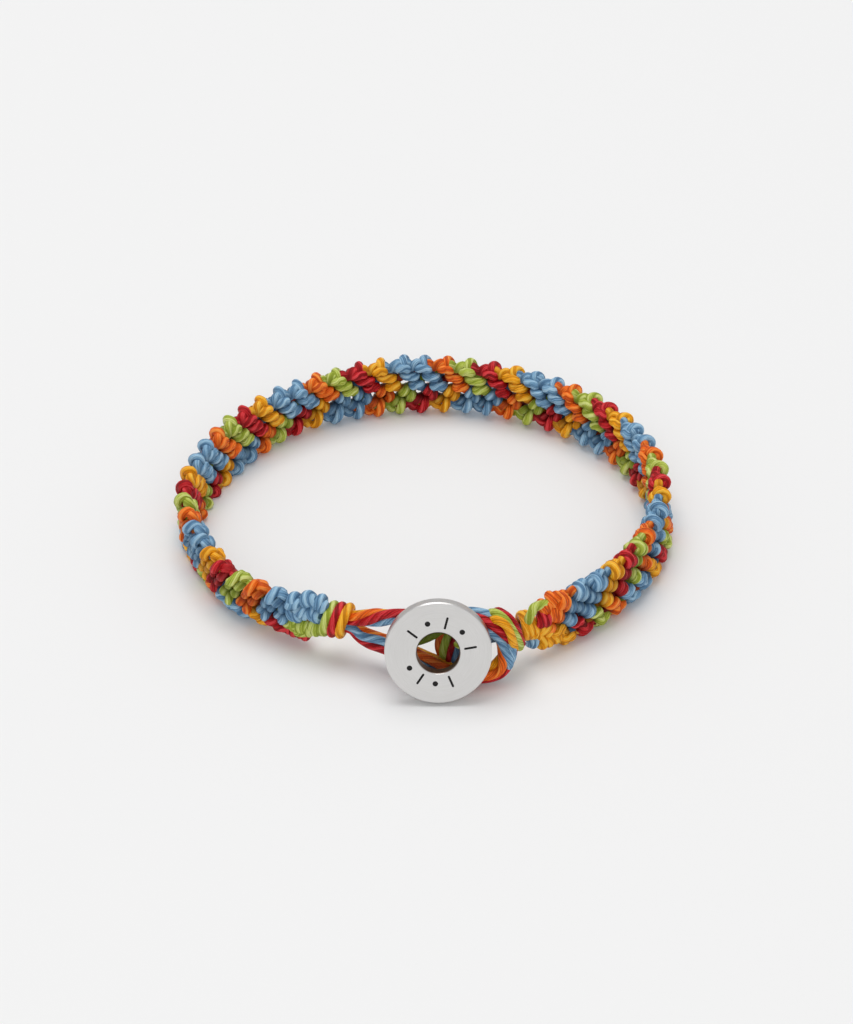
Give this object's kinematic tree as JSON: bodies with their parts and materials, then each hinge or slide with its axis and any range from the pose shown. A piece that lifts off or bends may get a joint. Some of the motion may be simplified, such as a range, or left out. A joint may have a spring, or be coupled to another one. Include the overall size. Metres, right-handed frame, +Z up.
{
  "type": "bracelet",
  "caption": "Knotted cord bracelet with a chevron pattern, closed into a ring by a cord loop caught round a flat round steel button with a hole in its middle.",
  "frame": {"origin": "on the surface that the bracelet stands on, below the middle of the ring, where a wrist's axis meets it", "axes": "+Z up, along the axis of the wrist and across the band's width; the button is at the front, towards -Y; +X to the right as seen from the front"},
  "size_m": [0.0592, 0.0628, 0.0119],
  "materials": {
    "cord_blue": "waxed cord",
    "cord_orange": "waxed cord",
    "cord_green": "waxed cord",
    "cord_red": "waxed cord",
    "cord_yellow": "waxed cord",
    "steel": "fine circular brushing"
  },
  "bodies": {
    "root": {"knotted_band": "cord_blue", "loop_binding": "cord_yellow", "button_loop": "cord_orange", "neck_binding": "cord_yellow", "button_neck": "cord_green", "steel_button": "steel"}
  },
  "joints": []
}
